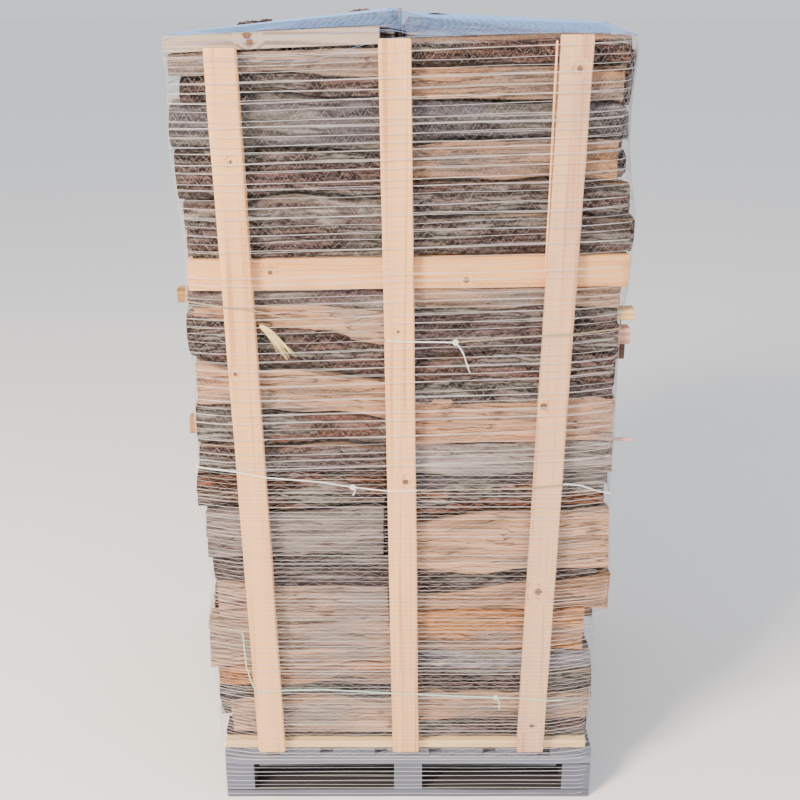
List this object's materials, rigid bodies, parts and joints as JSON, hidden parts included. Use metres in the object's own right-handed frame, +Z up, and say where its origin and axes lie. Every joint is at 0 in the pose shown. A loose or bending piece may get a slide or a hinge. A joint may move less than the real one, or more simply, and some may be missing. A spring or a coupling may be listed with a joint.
{
  "type": "palletised firewood load",
  "caption": "Tall pallet load of split firewood logs in two piles end to end, held by sawn battens, twine and a fine net sleeve.",
  "frame": {"origin": "middle of the base of the load's bounding box, on the floor under the pallet", "axes": "+Z up; +X along the logs, to the right as the load's front is looked at; the front with the three measured battens looks towards -Y"},
  "size_m": [1.055, 1.056, 2.0516],
  "materials": {
    "pallet_wood": "weathered, rough sawn",
    "sawn_softwood": "rough sawn, unplaned",
    "split_log": "split along the grain, dry",
    "bark_log": "fissured bark, dry",
    "pile_logs": "split faces and bark mixed",
    "twine_white": "twisted fibrillated film",
    "twine_green": "twisted fibrillated film",
    "net": "knitted tape yarn"
  },
  "bodies": {
    "root": {"pallet_skid_front": "pallet_wood", "pallet_skid_middle": "pallet_wood", "pallet_skid_back": "pallet_wood", "pallet_deck_1": "pallet_wood", "pallet_deck_2": "pallet_wood", "pallet_deck_3": "pallet_wood", "pallet_deck_4": "pallet_wood", "pallet_deck_5": "pallet_wood", "pallet_deck_6": "pallet_wood", "pallet_deck_7": "pallet_wood", "lath_front": "sawn_softwood", "lath_back": "sawn_softwood", "plank_long": "sawn_softwood", "plank_top_left": "sawn_softwood", "batten_front_left": "sawn_softwood", "batten_front_middle": "sawn_softwood", "batten_front_right": "sawn_softwood", "batten_back_left": "sawn_softwood", "batten_back_middle": "sawn_softwood", "batten_back_right": "sawn_softwood", "log_left_01": "split_log", "log_left_02": "split_log", "log_left_03": "split_log", "log_left_04": "split_log", "log_left_05": "split_log", "log_left_06": "bark_log", "log_left_07": "bark_log", "log_left_08": "bark_log", "log_left_09": "split_log", "log_left_10": "bark_log", "log_left_11": "bark_log", "log_left_12": "bark_log", "log_left_13": "bark_log", "log_left_14": "bark_log", "log_left_15": "bark_log", "log_left_16": "split_log", "log_right_01": "split_log", "log_right_02": "bark_log", "log_right_03": "bark_log", "log_right_04": "split_log", "log_right_05": "split_log", "log_right_06": "split_log", "log_right_07": "bark_log", "log_right_08": "split_log", "log_right_09": "split_log", "log_right_10": "bark_log", "log_right_11": "bark_log", "log_right_12": "split_log", "log_right_13": "bark_log", "log_right_14": "bark_log", "log_right_15": "split_log", "log_right_16": "bark_log", "log_right_17": "split_log", "log_right_18": "bark_log", "pile_left": "pile_logs", "pile_right": "pile_logs", "twine_upper": "twine_white", "twine_middle": "twine_white", "twine_lower": "twine_green", "net_sleeve": "net"}
  },
  "joints": []
}
